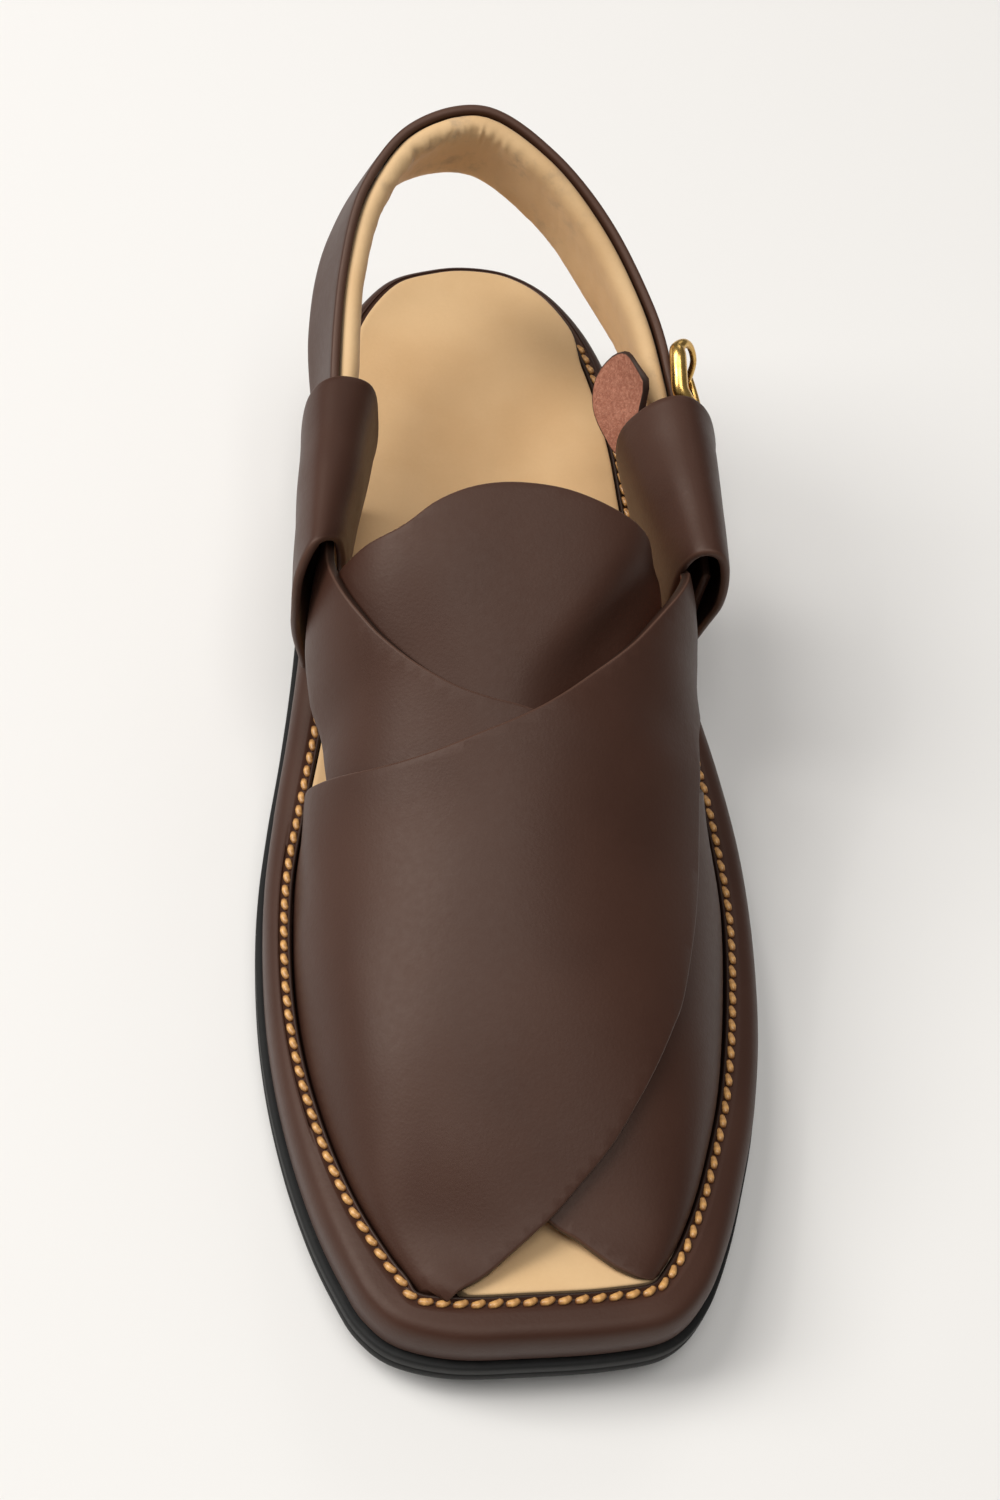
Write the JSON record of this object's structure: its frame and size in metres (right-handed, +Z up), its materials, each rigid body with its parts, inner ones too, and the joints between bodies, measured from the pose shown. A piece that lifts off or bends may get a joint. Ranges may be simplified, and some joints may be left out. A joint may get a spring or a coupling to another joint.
{
  "type": "peshawari chappal",
  "caption": "Left peshawari chappal: crossed leather panels over a square-toed wedge sole, wide tongue, side loops and a buckled, padded heel strap.",
  "frame": {"origin": "middle of the bounding box's base, on the floor", "axes": "-Y towards the toe, +Y towards the heel, +X towards the outer side, +Z up"},
  "size_m": [0.1077, 0.2747, 0.0982],
  "materials": {
    "rubber": "satin",
    "brown_leather": "satin",
    "tan_leather": "matt",
    "brass": "polished"
  },
  "bodies": {
    "root": {"outsole": "rubber", "midsole": "brown_leather", "insole": "tan_leather", "upper": "brown_leather", "tongue": "brown_leather", "loop_medial": "brown_leather", "loop_lateral": "brown_leather", "heel_strap": "brown_leather", "heel_strap_lining": "tan_leather", "buckle_frame": "brass", "buckle_prong": "brass"}
  },
  "joints": []
}
